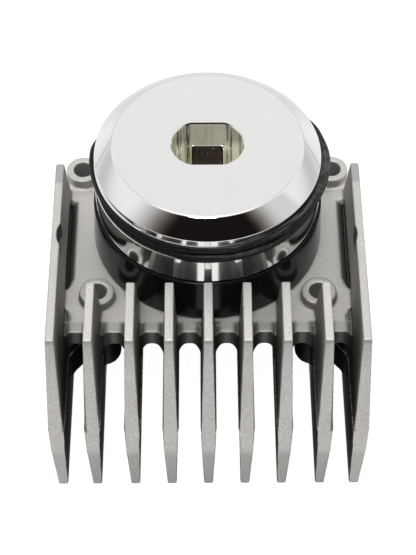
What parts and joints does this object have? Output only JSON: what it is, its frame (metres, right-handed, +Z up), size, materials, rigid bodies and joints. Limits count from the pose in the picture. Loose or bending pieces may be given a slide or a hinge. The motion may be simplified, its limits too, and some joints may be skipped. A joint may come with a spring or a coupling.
{
  "type": "finned drive housing",
  "caption": "Die-cast finned housing with corner bosses, a gloss black collar and a turning chrome hub with a two-flat drive socket and rubber sealing rings.",
  "frame": {"origin": "middle of the footprint, on the ground plane under the fins' lower edges", "axes": "+Z up along the hub's axis of rotation; +Y towards the rear, away from the free fin ends; +X to the right seen from the fin ends"},
  "size_m": [0.07, 0.0774, 0.0632],
  "materials": {
    "cast_aluminium": "shot-blasted die casting",
    "chrome": "bright chrome plate",
    "rubber": "moulded black rubber",
    "gloss_black": "gloss black",
    "bearing_steel": "ground",
    "dark_steel": "blackened",
    "cage_plastic": "moulded",
    "zinc": "zinc plated"
  },
  "bodies": {
    "casing": {"housing": "cast_aluminium", "collar": "gloss_black", "collar_screw_1": "zinc", "collar_screw_2": "zinc", "collar_screw_3": "zinc", "collar_screw_4": "zinc", "bearing_upper_outer": "bearing_steel", "bearing_lower_outer": "bearing_steel", "spacer_outer": "bearing_steel", "snap_ring_housing": "bearing_steel", "dust_cap": "zinc"},
    "rotor": {"hub": "chrome", "ring_upper": "rubber", "ring_lower": "rubber", "spindle": "dark_steel", "bearing_upper_inner": "bearing_steel", "bearing_lower_inner": "bearing_steel", "spacer_inner": "bearing_steel", "snap_ring_spindle": "bearing_steel"},
    "balls_upper": {"bearing_upper_cage": "cage_plastic", "bearing_upper_ball_1": "bearing_steel", "bearing_upper_ball_2": "bearing_steel", "bearing_upper_ball_3": "bearing_steel", "bearing_upper_ball_4": "bearing_steel", "bearing_upper_ball_5": "bearing_steel", "bearing_upper_ball_6": "bearing_steel", "bearing_upper_ball_7": "bearing_steel", "bearing_upper_ball_8": "bearing_steel"},
    "balls_lower": {"bearing_lower_cage": "cage_plastic", "bearing_lower_ball_1": "bearing_steel", "bearing_lower_ball_2": "bearing_steel", "bearing_lower_ball_3": "bearing_steel", "bearing_lower_ball_4": "bearing_steel", "bearing_lower_ball_5": "bearing_steel", "bearing_lower_ball_6": "bearing_steel", "bearing_lower_ball_7": "bearing_steel", "bearing_lower_ball_8": "bearing_steel"}
  },
  "joints": [
    {"name": "hub_spin", "type": "hinge", "parent": "casing", "child": "rotor", "pos_m": [0, 0.0112, 0.034], "axis": [0, 0, 1], "continuous": true},
    {"name": "balls_upper_spin", "type": "hinge", "parent": "casing", "child": "balls_upper", "pos_m": [0, 0.0112, 0.0285], "axis": [0, 0, 1], "continuous": true},
    {"name": "balls_lower_spin", "type": "hinge", "parent": "casing", "child": "balls_lower", "pos_m": [0, 0.0112, 0.0195], "axis": [0, 0, 1], "continuous": true}
  ],
  "couplings": [
    {"joint": "balls_upper_spin", "follows": "hub_spin", "ratio": 0.41389},
    {"joint": "balls_lower_spin", "follows": "hub_spin", "ratio": 0.41389}
  ]
}
